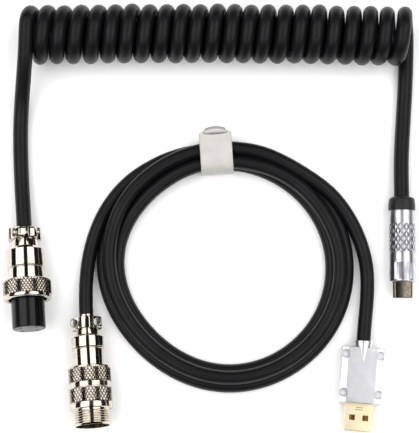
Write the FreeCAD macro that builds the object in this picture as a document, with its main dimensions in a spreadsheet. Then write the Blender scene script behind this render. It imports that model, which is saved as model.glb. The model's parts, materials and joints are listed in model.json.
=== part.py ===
import FreeCAD, Part
import math
import os
import re
import Sketcher

# A detachable coiled cable set for a desktop keyboard, lying on a table.
# The coiled cable runs from a round coupler with a lock ring to a reversible type-C plug.
# The host cable is wound in a tied loop and runs from a threaded round coupler to a type-A plug.
# Lengths are in millimetres and angles in degrees. X runs along the coil, Y from the plugs' noses
# towards the coil, and Z up from the table.

DIMENSIONS = {
    # cords
    "curly_cord_r": 3.25, "host_cord_r": 3.0, "coil_r": 12.75,
    "loop_x": 6.1, "loop_y": 4.5, "loop_r": 48.3, "loop_half": 6.3, "loop_top": 12.3,
    "loop_low_round": 1.5, "loop_high_round": 2.0,
    # cord clamp of both round couplers
    "clamp_len": 5.4, "clamp_gap": 0.35, "clamp_screw_at": 4.9, "ear_slope": 1.5, "jaw_half": 3.0,
    "jaw_flat": 1.9,
    "clamp_screw_r": 0.95, "clamp_head_r": 1.8, "clamp_head_h": 1.3, "clamp_tip": 5.4,
    "slot_wide": 0.5, "slot_deep": 0.6, "running_gap": 0.1, "neck_lap": 0.4, "neck_wall": 1.6,
    # round coupler with the lock ring
    "ring_x": -78.9, "ring_y": 20.6, "ring_z": 7.38, "ring_yaw": 4.4, "ring_pitch": 7.0, "ring_roll": 75.0,
    "ring_lug_half": 6.7, "ring_ear_thick": 4.4, "ring_jaw_deep": 7.2, "ring_neck_r": 5.8,
    "ring_neck_end": 8.6,
    "ring_back_r": 8.0, "ring_back_end": 17.3, "ring_cavity_r": 6.9, "ring_shoulder": 1.2,
    "ring_front_r": 7.52, "ring_front_end": 24.5, "ring_insert_r": 7.0, "ring_insert_start": 19.0,
    "ring_insert_end": 43.5, "key_wide": 2.0, "key_deep": 0.8, "ring_key_start": 31.5,
    "ring_key_turn": -38.0,
    "lock_r": 10.2, "lock_start": 22.9, "lock_end": 31.1, "lock_flange_r": 7.6, "lock_flange_end": 24.4,
    "lock_bore_r": 8.1, "clip_start": 24.6, "clip_end": 25.2, "clip_r": 7.95,
    # round coupler with the outside thread
    "male_x": -52.2, "male_y": -17.2, "male_z": 6.56, "male_yaw": 4.5, "male_pitch": 6.5, "male_roll": 0.0,
    "male_lug_half": 6.4, "male_ear_thick": 2.6, "male_jaw_deep": 5.0, "male_neck_r": 4.8,
    "male_neck_end": 7.9,
    "male_back_r": 6.9, "male_back_end": 13.3, "male_cavity_r": 5.9, "male_shoulder": 0.8,
    "male_front_r": 6.4, "male_front_end": 21.4, "barrel_r": 9.0, "barrel_start": 21.2,
    "barrel_end": 39.2, "band_start": 28.0, "band_end": 30.0, "band_deep": 0.5, "thread_r": 8.0,
    "thread_end": 46.0, "barrel_bore_r": 7.1, "pin_insert_start": 31.0, "pin_insert_end": 37.0,
    "nut_start": 28.4, "nut_r": 5.6, "male_key_turn": 52.0,
    # contacts of both round couplers
    "contact_circle": 4.6, "pin_r": 0.75, "pin_end": 44.6, "cup_len": 4.5, "socket_wall": 0.22,
    "socket_deep": 7.0, "socket_sunk": 0.6, "wire_r": 0.55, "wire_circle": 1.3, "cord_inside": 8.2,
    # type-C plug
    "tc_x": 82.3, "tc_y": 34.3, "tc_z": 5.7, "tc_yaw": -0.3, "tc_boot_r": 5.55, "tc_boot_end": 5.8,
    "tc_boot_round": 1.3, "tc_sleeve_r": 5.7, "tc_sleeve_end": 36.3, "tc_sleeve_bore": 4.7,
    "tc_nose_wall": 1.4,
    "tc_flat_start": 28.2, "tc_flat_end": 35.4, "tc_flat_deep": 0.55, "tc_shell_wide": 8.34,
    "tc_shell_high": 2.56, "tc_shell_wall": 0.3, "tc_shell_start": 29.0, "tc_shell_end": 43.0,
    "tc_ferrule_r": 3.75, "tc_ferrule_start": 6.0, "tc_ferrule_end": 11.4, "tc_mould_start": 11.6,
    "tc_mould_end": 22.0, "tc_board_end": 31.0,
    "tc_board_wide": 6.6, "tc_board_thick": 0.8, "tc_pitch": 0.5, "tc_contact_wide": 0.25,
    "tc_contact_thick": 0.15, "tc_contact_start": 33.0, "tc_contact_end": 41.9, "tc_liner_wall": 0.55,
    "tc_liner_start": 31.1, "tc_liner_floor": 32.2, "tc_liner_end": 42.4,
    # type-A plug
    "ta_x": 65.2, "ta_y": -26.9, "ta_z": 4.8, "ta_yaw": -4.7, "ta_neck_r": 4.0, "ta_neck_end": 2.9,
    "ta_half_wide": 8.95, "ta_half_high": 4.8, "ta_case_end": 26.4, "ta_wall": 1.3, "ta_screw_x": 7.25,
    "ta_screw_back": 6.1, "ta_screw_front": 22.4, "ta_screw_r": 0.9, "ta_head_r": 1.6, "ta_head_h": 1.2,
    "ta_seat_deep": 1.3, "ta_thread_deep": 3.4, "ta_screw_tip": 3.2, "ta_room_half": 5.6,
    "ta_shell_wide": 12.0, "ta_shell_high": 4.5, "ta_shell_wall": 0.3, "ta_shell_start": 18.6,
    "ta_shell_end": 38.2, "ta_window_x": 3.05, "ta_window_z": 32.4, "ta_window_wide": 2.3,
    "ta_window_long": 2.0,
    "ta_tongue_thick": 1.84, "ta_base_start": 18.6, "ta_base_end": 26.6, "ta_tongue_end": 37.0,
    "ta_contact_wide": 1.0, "ta_contact_thick": 0.2, "ta_outer_contact": 3.5, "ta_inner_contact": 1.0,
    "ta_board_start": 10.5, "ta_board_wide": 11.0, "ta_board_thick": 1.0, "ta_cord_inside": 4.6,
    "ta_lead_pitch": 1.3, "ta_contact_back": 0.8,
    # hook-and-loop tie round the host cable's loop
    "tie_turn": 3.8, "tie_wide": 14.0, "tie_thick": 1.1, "tie_in": 7.65, "tie_low": 0.6, "tie_high": 13.1,
    "tie_head": 11.0, "tie_outer_low": 7.6, "tie_outer_high": 12.1, "tie_slot_at": 8.9,
    "tie_slot_wide": 1.9,
    "tie_slot_long": 9.6, "tie_play": 0.5, "tie_root_low": 10.8, "tie_root_end": 11.1, "tie_tail_wide": 8.6,
    "tie_fold_r": 1.4, "tie_tail_low": 3.2, "tie_tail_out": 9.9,
}  # fmt: skip

doc = FreeCAD.newDocument("coiled_cable_set")
sheet = doc.addObject("Spreadsheet::Sheet", "dims")
for row, (alias, number) in enumerate(DIMENSIONS.items(), start=1):
    sheet.set(f"A{row}", alias)
    sheet.set(f"B{row}", str(number))
    sheet.setAlias(f"B{row}", alias)
doc.recompute()

X, Y, Z = FreeCAD.Vector(1, 0, 0), FreeCAD.Vector(0, 1, 0), FreeCAD.Vector(0, 0, 1)
pieces = []


def cells(text):
    """An expression on the sheet, from one that names its aliases alone."""
    return re.sub(r"[a-z_]+", lambda word: "dims." + word.group(0), text)


def size(text):
    return float(sheet.evalExpression(cells(text)))


def turned_by(axis, degrees):
    return FreeCAD.Placement(FreeCAD.Vector(), FreeCAD.Rotation(axis, degrees))


def plug_frame(plug, pitch="0", roll="0"):
    """A plug's own frame: z from its cord to its nose, x to the right and y up when it lies unrolled."""
    place = FreeCAD.Placement(FreeCAD.Vector(*(size(f"{plug}_{way}") for way in "xyz")), FreeCAD.Rotation())
    place = place.multiply(turned_by(Z, size(f"{plug}_yaw")))
    return place.multiply(turned_by(X, 90 - size(pitch))).multiply(turned_by(Z, size(roll)))


def keep(piece, label, frame=None):
    """Files a finished piece under its own name, at its place in the set."""
    piece.Label = label
    if frame is not None:
        piece.Placement = frame
    pieces.append(piece)
    return piece


# --- sketched bodies ---------------------------------------------------------------------------


def new_body(label, frame):
    return keep(doc.addObject("PartDesign::Body", label), label, frame)


def sketch_on(body, role, lift="0"):
    sketch = body.newObject("Sketcher::SketchObject", "outline")
    plane = next(feature for feature in body.Origin.OriginFeatures if feature.Role == role)
    sketch.AttachmentSupport = [(plane, "")]
    sketch.MapMode = "FlatFace"
    sketch.setExpression("AttachmentOffset.Base.z", cells(lift))
    return sketch


def hold(sketch, way, geometry, point, text, name):
    """Holds one point of a sketch at a distance from the sketch's origin, which the sheet gives."""
    if size(text) == 0:
        sketch.addConstraint(
            Sketcher.Constraint("PointOnObject", geometry, point, -2 if way == "DistanceX" else -1)
        )
        return
    sketch.addConstraint(Sketcher.Constraint(way, -1, 1, geometry, point, size(text)))
    sketch.renameConstraint(sketch.ConstraintCount - 1, name)
    sketch.setExpression(f"Constraints.{name}", cells(text))


def polygon(body, role, corners, lift="0"):
    """A closed outline of straight lines through corners that the sheet gives."""
    sketch = sketch_on(body, role, lift)
    points = [FreeCAD.Vector(size(across), size(along), 0) for across, along in corners]
    for start, end in zip(points, points[1:] + points[:1]):
        sketch.addGeometry(Part.LineSegment(start, end), False)
    for line, (across, along) in enumerate(corners):
        after = (line + 1) % len(corners)
        sketch.addConstraint(Sketcher.Constraint("Coincident", line, 2, after, 1))
        hold(sketch, "DistanceX", line, 1, across, f"across{line}")
        hold(sketch, "DistanceY", line, 1, along, f"along{line}")
    return sketch


def rectangle(body, role, low, high, lift="0"):
    return polygon(body, role, [low, (high[0], low[1]), high, (low[0], high[1])], lift)


def circles(body, role, radius, centres, lift="0"):
    sketch = sketch_on(body, role, lift)
    for number, (across, along) in enumerate(centres):
        centre = FreeCAD.Vector(size(across), size(along), 0)
        sketch.addGeometry(Part.Circle(centre, Z, size(radius)), False)
        hold(sketch, "DistanceX", number, 3, across, f"across{number}")
        hold(sketch, "DistanceY", number, 3, along, f"along{number}")
        sketch.addConstraint(Sketcher.Constraint("Radius", number, size(radius)))
        sketch.renameConstraint(sketch.ConstraintCount - 1, f"radius{number}")
        sketch.setExpression(f"Constraints.radius{number}", cells(radius))
    return sketch


def turn(body, corners, angle=360, reverse=False):
    """Turns an outline of (radius, z) corners about the piece's own z axis."""
    feature = body.newObject("PartDesign::Revolution", "turned")
    feature.Profile = polygon(body, "XZ_Plane", corners)
    feature.ReferenceAxis = (feature.Profile[0], ["V_Axis"])
    feature.Angle = angle
    feature.Reversed = reverse
    return feature


def pad(body, sketch, length, reverse=False):
    feature = body.newObject("PartDesign::Pad", "pad")
    feature.Profile = sketch
    feature.setExpression("Length", cells(length))
    feature.Reversed = reverse
    return feature


def cut(body, sketch, depth, reverse=False, both=False):
    """A pocket that has to take material away, so its volume is compared before and after."""
    doc.recompute()
    before = body.Shape.Volume
    feature = body.newObject("PartDesign::Pocket", "cut")
    feature.Profile = sketch
    feature.setExpression("Length", cells(depth))
    feature.Reversed = reverse
    if both:
        feature.SideType = "Symmetric"
    doc.recompute()
    if not body.Shape.Volume < before:
        raise ValueError(f"{body.Label}: a pocket cuts nothing")
    return feature


def turned_piece(label, corners, frame):
    body = new_body(label, frame)
    turn(body, corners)
    return body


# --- Part primitives ---------------------------------------------------------------------------


def primitive(kind, **sizes):
    """A Part primitive whose properties are bound to the sheet; at_x, at_y and at_z place it."""
    item = doc.addObject(f"Part::{kind}", kind.lower())
    for name, text in sizes.items():
        bound = "Placement.Base." + name[3:] if name.startswith("at_") else name
        item.setExpression(bound, cells(text))
    return item


def bar(width, height, start, end, at_x="0", at_y="0"):
    """A box centred on (at_x, at_y), from start to end along z."""
    return primitive(
        "Box", Length=width, Width=height, Height=f"({end}) - ({start})",
        at_x=f"({at_x}) - ({width}) / 2", at_y=f"({at_y}) - ({height}) / 2", at_z=start,
    )  # fmt: skip


def rod(radius, start, end, at_x="0", at_y="0"):
    return primitive("Cylinder", Radius=radius, Height=f"({end}) - ({start})", at_x=at_x, at_y=at_y, at_z=start)


def upright(radius, low, high, at_x, at_z):
    """A cylinder along y, from low to high."""
    item = primitive("Cylinder", Radius=radius, Height=f"({high}) - ({low})", at_x=at_x, at_y=low, at_z=at_z)
    item.Placement.Rotation = FreeCAD.Rotation(X, -90)
    return item


def fused(*items):
    item = doc.addObject("Part::MultiFuse", "fused")
    item.Shapes = list(items)
    return item


def less(base, tool):
    item = doc.addObject("Part::Cut", "less")
    item.Base, item.Tool = base, tool
    return item


def group(label, items, frame):
    """One or more solids under one name. The group takes the plug's frame, so theirs stay bound to the sheet."""
    item = doc.addObject("Part::Compound", label)
    item.Links = items
    return keep(item, label, frame)


def stadium(width, height, start, end):
    """A bar with full round sides."""
    half = f"(({width}) - ({height})) / 2"
    ends = [rod(f"({height}) / 2", start, end, at_x=side + half) for side in ("", "-")]
    return fused(bar(f"({width}) - ({height})", height, start, end), *ends)


# --- round couplers ----------------------------------------------------------------------------


def clamp_outline(plug, side):
    """Two ears joined by a jaw, on the side of the cord that side's sign gives."""
    lug, ear = f"{plug}_lug_half", f"{side}(clamp_gap + {plug}_ear_thick)"
    near, far = f"{side}clamp_gap", f"{side}{plug}_jaw_deep"
    in_by, down_by = f"{lug} - ear_slope", f"{side}(clamp_gap + {plug}_ear_thick - ear_slope)"
    return [
        (f"-{lug}", near), (lug, near), (lug, down_by), (in_by, ear), ("jaw_half", ear), ("jaw_flat", far),
        ("-jaw_flat", far), ("-jaw_half", ear), (f"-({in_by})", ear), (f"-{lug}", down_by),
    ]  # fmt: skip


def cut_clamp(body, plug):
    """The cord's half bore and the two screw holes."""
    cut(body, circles(body, "XY_Plane", "curly_cord_r + running_gap / 2", [("0", "0")]), "clamp_len", reverse=True)
    holes = [(f"{side}clamp_screw_at", "clamp_len / 2") for side in ("", "-")]
    cut(body, circles(body, "XZ_Plane", "clamp_screw_r", holes), f"4 * {plug}_jaw_deep", both=True)


def back_shell(label, plug, frame):
    """The rear shell, its neck, and the fixed half of the cord clamp, in one piece."""
    bore, back, wall = "curly_cord_r + running_gap / 2", f"{plug}_back_r", f"{plug}_neck_end + neck_wall"
    body = new_body(label, frame)
    turn(body, [
        (bore, "clamp_len - neck_lap"), (f"{plug}_neck_r", "clamp_len - neck_lap"),
        (f"{plug}_neck_r", f"{plug}_neck_end"),
        (f"{back} - {plug}_shoulder", f"{plug}_neck_end"), (back, f"{plug}_neck_end + {plug}_shoulder"),
        (back, f"{plug}_back_end"), (f"{plug}_cavity_r", f"{plug}_back_end"), (f"{plug}_cavity_r", wall), (bore, wall),
    ])  # fmt: skip
    pad(body, polygon(body, "XY_Plane", clamp_outline(plug, "-")), "clamp_len")
    cut_clamp(body, plug)


def clamp_bar(label, plug, frame):
    body = new_body(label, frame)
    pad(body, polygon(body, "XY_Plane", clamp_outline(plug, "")), "clamp_len - neck_lap - running_gap")
    cut_clamp(body, plug)


def clamp_screws(label, plug, frame):
    """Two slotted screws, head on the bar and tip in the shell's own half."""
    screws = []
    for side in ("", "-"):
        place = {"at_x": f"{side}clamp_screw_at", "at_z": "clamp_len / 2"}
        seat = f"clamp_gap + {plug}_ear_thick"
        shank = upright("clamp_screw_r", "-clamp_tip", seat, **place)
        head = upright("clamp_head_r", seat, f"{seat} + clamp_head_h", **place)
        slot = bar(
            "slot_wide", "slot_deep", "clamp_len / 2 - clamp_head_r", "clamp_len / 2 + clamp_head_r",
            at_x=place["at_x"], at_y=f"{seat} + clamp_head_h - slot_deep / 2",
        )  # fmt: skip
        screws.append(less(fused(shank, head), slot))
    group(label, screws, frame)


def around(radius, count, turn_by=45.0):
    """Points spaced evenly on a circle about the plug's axis."""
    angles = [math.radians(turn_by + 360 * number / count) for number in range(count)]
    return [(radius * math.cos(angle), radius * math.sin(angle)) for angle in angles]


CONTACTS = 4


def contacts(label, start, end, frame, bored):
    """One contact for each wire: a solid pin, or a socket bored from its open end."""
    made = []
    for across, up in around(size("contact_circle"), CONTACTS):
        at = {"at_x": f"{across:.4f}", "at_y": f"{up:.4f}"}
        pin = rod("pin_r", start, end, **at)
        made.append(less(pin, rod("pin_r - socket_wall", f"{end} - socket_deep", end, **at)) if bored else pin)
    group(label, made, frame)


def wires(label, start, end, frame):
    """The insulated conductors between the cord's end and the contacts' rear ends."""
    made = []
    near, far = (around(size(radius), CONTACTS) for radius in ("wire_circle", "contact_circle"))
    for (near_x, near_y), (far_x, far_y) in zip(near, far):
        lean = FreeCAD.Vector(far_x - near_x, far_y - near_y, size(end) - size(start))
        wire = primitive("Cylinder", Radius="wire_r")
        wire.Height = lean.Length
        wire.Placement = FreeCAD.Placement(
            FreeCAD.Vector(near_x, near_y, size(start)), FreeCAD.Rotation(Z, lean)
        )
        made.append(wire)
    group(label, made, frame)


def ring_coupler():
    frame = plug_frame("ring", "ring_pitch")
    rolled = plug_frame("ring", "ring_pitch", "ring_roll")
    back_shell("ring_coupler_back_shell", "ring", rolled)
    clamp_bar("ring_coupler_clamp_bar", "ring", rolled)
    clamp_screws("ring_coupler_clamp_screws", "ring", rolled)
    seam = "ring_back_end + 0.1"
    turned_piece("ring_coupler_front_shell", [
        ("ring_insert_r", seam), ("ring_front_r", seam), ("ring_front_r", "ring_front_end"),
        ("ring_insert_r", "ring_front_end"),
    ], frame)  # fmt: skip
    turned_piece("ring_coupler_retaining_clip", [
        ("ring_insert_r", "clip_start"), ("clip_r", "clip_start"), ("clip_r", "clip_end"),
        ("ring_insert_r", "clip_end"),
    ], frame)  # fmt: skip
    turned_piece("ring_coupler_lock_ring", [
        ("lock_flange_r", "lock_start"), ("lock_r", "lock_start"), ("lock_r", "lock_end"),
        ("lock_bore_r", "lock_end"), ("lock_bore_r", "lock_flange_end"), ("lock_flange_r", "lock_flange_end"),
    ], frame)  # fmt: skip
    insert = new_body("ring_coupler_insert", frame.multiply(turned_by(Z, size("ring_key_turn"))))
    turn(insert, [
        ("0", "ring_insert_start"), ("ring_insert_r", "ring_insert_start"), ("ring_insert_r", "ring_insert_end"),
        ("0", "ring_insert_end"),
    ])  # fmt: skip
    holes = [(f"{across:.4f}", f"{up:.4f}") for across, up in around(
        size("contact_circle"), CONTACTS, 45.0 - size("ring_key_turn"))]  # fmt: skip
    cut(insert, circles(insert, "XY_Plane", "pin_r", holes), "ring_insert_end + 1", reverse=True)
    groove = rectangle(insert, "XY_Plane", ("-key_wide / 2", "ring_insert_r - key_deep"),
                       ("key_wide / 2", "ring_insert_r + key_deep"), "ring_key_start")  # fmt: skip
    cut(insert, groove, "ring_insert_end", reverse=True)
    contacts("ring_coupler_contacts", "ring_insert_start - cup_len", "ring_insert_end - socket_sunk", frame, True)
    wires("ring_coupler_wires", "cord_inside", "ring_insert_start - cup_len", frame)


def thread_coupler():
    frame = plug_frame("male", "male_pitch")
    rolled = plug_frame("male", "male_pitch", "male_roll")
    back_shell("thread_coupler_back_shell", "male", rolled)
    clamp_bar("thread_coupler_clamp_bar", "male", rolled)
    clamp_screws("thread_coupler_clamp_screws", "male", rolled)
    seam, inside = "male_back_end + 0.1", "male_cavity_r"
    turned_piece("thread_coupler_front_shell", [
        (inside, seam), ("male_front_r", seam), ("male_front_r", "male_front_end"), (inside, "male_front_end"),
    ], frame)  # fmt: skip
    rear, sunk = "male_front_r", "barrel_r - band_deep"
    barrel = new_body("thread_coupler_barrel", frame.multiply(turned_by(Z, size("male_key_turn"))))
    turn(barrel, [
        (rear, "barrel_start"), ("barrel_r", "barrel_start"), ("barrel_r", "band_start"), (sunk, "band_start"),
        (sunk, "band_end"), ("barrel_r", "band_end"), ("barrel_r", "barrel_end"), ("thread_r", "barrel_end"),
        ("thread_r", "thread_end"), ("barrel_bore_r", "thread_end"), ("barrel_bore_r", "male_front_end"),
        (rear, "male_front_end"),
    ])  # fmt: skip
    key = rectangle(barrel, "XY_Plane", ("-key_wide / 2 + running_gap", "barrel_bore_r - key_deep + running_gap"),
                    ("key_wide / 2 - running_gap", "barrel_bore_r + 2 * running_gap"), "pin_insert_end")  # fmt: skip
    pad(barrel, key, "thread_end - pin_insert_end - key_wide / 2")
    turned_piece("thread_coupler_retaining_nut", [
        ("nut_r", "nut_start"), ("barrel_bore_r", "nut_start"), ("barrel_bore_r", "pin_insert_start"),
        ("nut_r", "pin_insert_start"),
    ], frame)  # fmt: skip
    insert = new_body("thread_coupler_insert", frame)
    turn(insert, [
        ("0", "pin_insert_start"), ("barrel_bore_r", "pin_insert_start"), ("barrel_bore_r", "pin_insert_end"),
        ("0", "pin_insert_end"),
    ])  # fmt: skip
    holes = [(f"{across:.4f}", f"{up:.4f}") for across, up in around(size("contact_circle"), CONTACTS)]
    cut(insert, circles(insert, "XY_Plane", "pin_r", holes), "pin_insert_end + 1", reverse=True)
    contacts("thread_coupler_pins", "pin_insert_start - cup_len", "pin_end", frame, False)
    wires("thread_coupler_wires", "cord_inside", "pin_insert_start - cup_len", frame)


# --- type-C plug -------------------------------------------------------------------------------


def type_c_plug():
    frame = plug_frame("tc")
    bore = "curly_cord_r + running_gap / 2"
    turned_piece("type_c_boot", [
        (bore, "0"), ("tc_boot_r - tc_boot_round", "0"), ("tc_boot_r", "tc_boot_round"),
        ("tc_boot_r", "tc_boot_end"), (bore, "tc_boot_end"),
    ], frame)  # fmt: skip
    sleeve = turned_piece("type_c_sleeve", [
        ("tc_sleeve_bore", "tc_boot_end"), ("tc_sleeve_r", "tc_boot_end"), ("tc_sleeve_r", "tc_sleeve_end"),
        ("0", "tc_sleeve_end"), ("0", "tc_sleeve_end - tc_nose_wall"),
        ("tc_sleeve_bore", "tc_sleeve_end - tc_nose_wall"),
    ], frame)  # fmt: skip
    mouth = rectangle(sleeve, "XY_Plane", ("-tc_shell_wide / 2", "-tc_shell_high / 2"),
                      ("tc_shell_wide / 2", "tc_shell_high / 2"), "tc_sleeve_end - 2 * tc_nose_wall")  # fmt: skip
    cut(sleeve, mouth, "4 * tc_nose_wall", reverse=True)
    flat = rectangle(sleeve, "XY_Plane", ("-tc_sleeve_r", "tc_sleeve_r - tc_flat_deep"),
                     ("tc_sleeve_r", "2 * tc_sleeve_r"), "tc_flat_start")  # fmt: skip
    cut(sleeve, flat, "tc_flat_end - tc_flat_start", reverse=True)
    turned_piece("type_c_crimp_ferrule", [
        ("curly_cord_r", "tc_ferrule_start"), ("tc_ferrule_r", "tc_ferrule_start"),
        ("tc_ferrule_r", "tc_ferrule_end"), ("curly_cord_r", "tc_ferrule_end"),
    ], frame)  # fmt: skip
    group("type_c_inner_mould", [rod("tc_sleeve_bore - running_gap", "tc_mould_start", "tc_mould_end")], frame)
    group("type_c_board", [bar("tc_board_wide", "tc_board_thick", "tc_mould_end", "tc_board_end")], frame)
    inner_wide, inner_high = "tc_shell_wide - 2 * tc_shell_wall", "tc_shell_high - 2 * tc_shell_wall"
    shell = less(stadium("tc_shell_wide", "tc_shell_high", "tc_shell_start", "tc_shell_end"),
                 stadium(inner_wide, inner_high, "tc_shell_start - 1", "tc_shell_end + 1"))  # fmt: skip
    keep(shell, "type_c_shell", frame)
    room_wide, room_high = f"{inner_wide} - 2 * tc_liner_wall", f"{inner_high} - 2 * tc_liner_wall"
    liner = less(stadium(inner_wide, inner_high, "tc_liner_start", "tc_liner_end"),
                 bar(room_wide, room_high, "tc_liner_floor", "tc_liner_end + 1"))  # fmt: skip
    keep(liner, "type_c_liner", frame)
    rows = []
    for side in ("", "-"):
        for number in range(12):
            across = f"({number} - 5.5) * tc_pitch"
            above = f"{side}(({room_high}) / 2 - tc_contact_thick / 2)"
            rows.append(bar("tc_contact_wide", "tc_contact_thick", "tc_contact_start", "tc_contact_end",
                            at_x=across, at_y=above))  # fmt: skip
    group("type_c_contacts", rows, frame)


# --- type-A plug -------------------------------------------------------------------------------


def type_a_housing(label, frame, top):
    """Half of the metal housing. The top half carries the screw seats and the bottom half the threads."""
    body = new_body(label, frame)
    half, rear, front, wall = "ta_half_wide", "ta_neck_end", "ta_case_end", "ta_wall"
    pad(body, rectangle(body, "XZ_Plane", (f"-{half}", rear), (half, front)), "ta_half_high", reverse=top)
    turn(body, [
        ("host_cord_r", "0"), ("ta_neck_r", "0"), ("ta_neck_r", f"{rear} + {wall}"), ("host_cord_r", f"{rear} + {wall}"),
    ], 180, reverse=not top)  # fmt: skip
    room = rectangle(body, "XZ_Plane", ("-ta_room_half", f"{rear} + {wall}"), ("ta_room_half", f"{front} - {wall}"))
    cut(body, room, "ta_half_high - ta_wall", reverse=not top)
    way_in = circles(body, "XY_Plane", "host_cord_r", [("0", "0")], "ta_neck_end - running_gap")
    cut(body, way_in, "ta_wall + 2 * running_gap", reverse=True)
    mouth = rectangle(body, "XZ_Plane", ("-ta_shell_wide / 2", "ta_shell_start"), ("ta_shell_wide / 2", f"{front} + 1"))
    cut(body, mouth, "ta_shell_high / 2", reverse=not top)
    spots = [(side + "ta_screw_x", along) for side in ("", "-") for along in ("ta_screw_back", "ta_screw_front")]
    if top:
        cut(body, circles(body, "XZ_Plane", "ta_screw_r + running_gap", spots), "ta_half_high")
        seats = circles(body, "XZ_Plane", "ta_head_r + running_gap", spots, "-ta_half_high")
        cut(body, seats, "ta_seat_deep", reverse=True)
    else:
        cut(body, circles(body, "XZ_Plane", "ta_screw_r", spots), "ta_thread_deep", reverse=True)


def type_a_plug():
    frame = plug_frame("ta")
    type_a_housing("type_a_top_housing", frame, True)
    type_a_housing("type_a_bottom_housing", frame, False)
    screws = []
    for side in ("", "-"):
        for along in ("ta_screw_back", "ta_screw_front"):
            place = {"at_x": side + "ta_screw_x", "at_z": along}
            seat = "ta_half_high - ta_seat_deep"
            shank = upright("ta_screw_r", "-ta_screw_tip", seat, **place)
            screws.append(fused(shank, upright("ta_head_r", seat, f"{seat} + ta_head_h", **place)))
    group("type_a_screws", screws, frame)
    shell = new_body("type_a_shell", frame)
    outline = ("ta_shell_wide / 2", "ta_shell_high / 2")
    inner = ("ta_shell_wide / 2 - ta_shell_wall", "ta_shell_high / 2 - ta_shell_wall")
    pad(shell, rectangle(shell, "XY_Plane", tuple(f"-({text})" for text in outline), outline, "ta_shell_start"),
        "ta_shell_end - ta_shell_start")  # fmt: skip
    cut(shell, rectangle(shell, "XY_Plane", tuple(f"-({text})" for text in inner), inner, "ta_shell_start"),
        "ta_shell_end", reverse=True)  # fmt: skip
    for side in ("", "-"):
        low = (f"{side}ta_window_x - ta_window_wide / 2", "ta_window_z - ta_window_long / 2")
        high = (f"{side}ta_window_x + ta_window_wide / 2", "ta_window_z + ta_window_long / 2")
        cut(shell, rectangle(shell, "XZ_Plane", low, high), "2 * ta_shell_high", both=True)
    wide, high = "ta_shell_wide - 2 * ta_shell_wall", "ta_shell_high - 2 * ta_shell_wall"
    low_side = f"-(({high}) - ta_tongue_thick) / 2"
    base = bar(wide, high, "ta_base_start", "ta_base_end")
    tongue = bar(wide, "ta_tongue_thick", "ta_base_end", "ta_tongue_end", at_y=low_side)
    keep(fused(base, tongue), "type_a_tongue", frame)
    strips = []
    for across in ("ta_outer_contact", "ta_inner_contact", "-ta_inner_contact", "-ta_outer_contact"):
        above = f"{low_side} + (ta_tongue_thick + ta_contact_thick) / 2"
        strips.append(bar("ta_contact_wide", "ta_contact_thick", "ta_base_end", "ta_tongue_end - ta_contact_back",
                          at_x=across, at_y=above))  # fmt: skip
    group("type_a_contacts", strips, frame)
    group("type_a_board", [bar("ta_board_wide", "ta_board_thick", "ta_board_start", "ta_base_start")], frame)
    leads = []
    for number in range(CONTACTS):
        across = f"({number} - ({CONTACTS} - 1) / 2) * ta_lead_pitch"
        leads.append(rod("wire_r", "ta_cord_inside", "ta_board_start", at_x=across))
    group("type_a_wires", leads, frame)


# --- cords and tie -----------------------------------------------------------------------------


def rounded_path(points, share=0.45):
    """Straight runs joined by tangent arcs. Each arc takes the same share of the shorter of its two runs."""
    edges, start, radii = [], points[0], []
    for before, corner, after in zip(points, points[1:], points[2:]):
        back, ahead = before - corner, after - corner
        reach = share * min(back.Length, ahead.Length)
        half_turn = (math.pi - back.getAngle(ahead)) / 2
        radii.append(reach / math.tan(half_turn))
        back.normalize()
        ahead.normalize()
        inward = back + ahead
        inward.normalize()
        middle = corner + inward * (radii[-1] / math.cos(half_turn) - radii[-1])
        enter, leave = corner + back * reach, corner + ahead * reach
        edges += [Part.LineSegment(start, enter).toShape(), Part.Arc(enter, middle, leave).toShape()]
        start = leave
    edges.append(Part.LineSegment(start, points[-1]).toShape())
    return Part.Wire(edges), radii


def cord(label, points, radius):
    """A round cord along a route, with its volume checked against its section times its length."""
    route = [FreeCAD.Vector(*point) for point in points]
    path, radii = rounded_path(route)
    section = Part.Wire(Part.Circle(route[0], route[1] - route[0], radius).toShape())
    shape = path.makePipeShell([section], True, False)
    expected = math.pi * radius**2 * path.Length
    if abs(shape.Volume / expected - 1) > 0.01:
        raise ValueError(f"{label}: volume {shape.Volume:.0f} against {expected:.0f}")
    print(f"{label}: length {path.Length:.1f}, least radius {min(radii):.1f}, lowest {shape.BoundBox.ZMin:.2f}")
    piece = doc.addObject("Part::Feature", label)
    piece.Shape = shape
    keep(piece, label)


def in_plug(plug, along, pitch="0"):
    """A point on a plug's axis, as a cord's route needs it."""
    return tuple(plug_frame(plug, pitch).multVec(FreeCAD.Vector(0, 0, along)))


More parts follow.
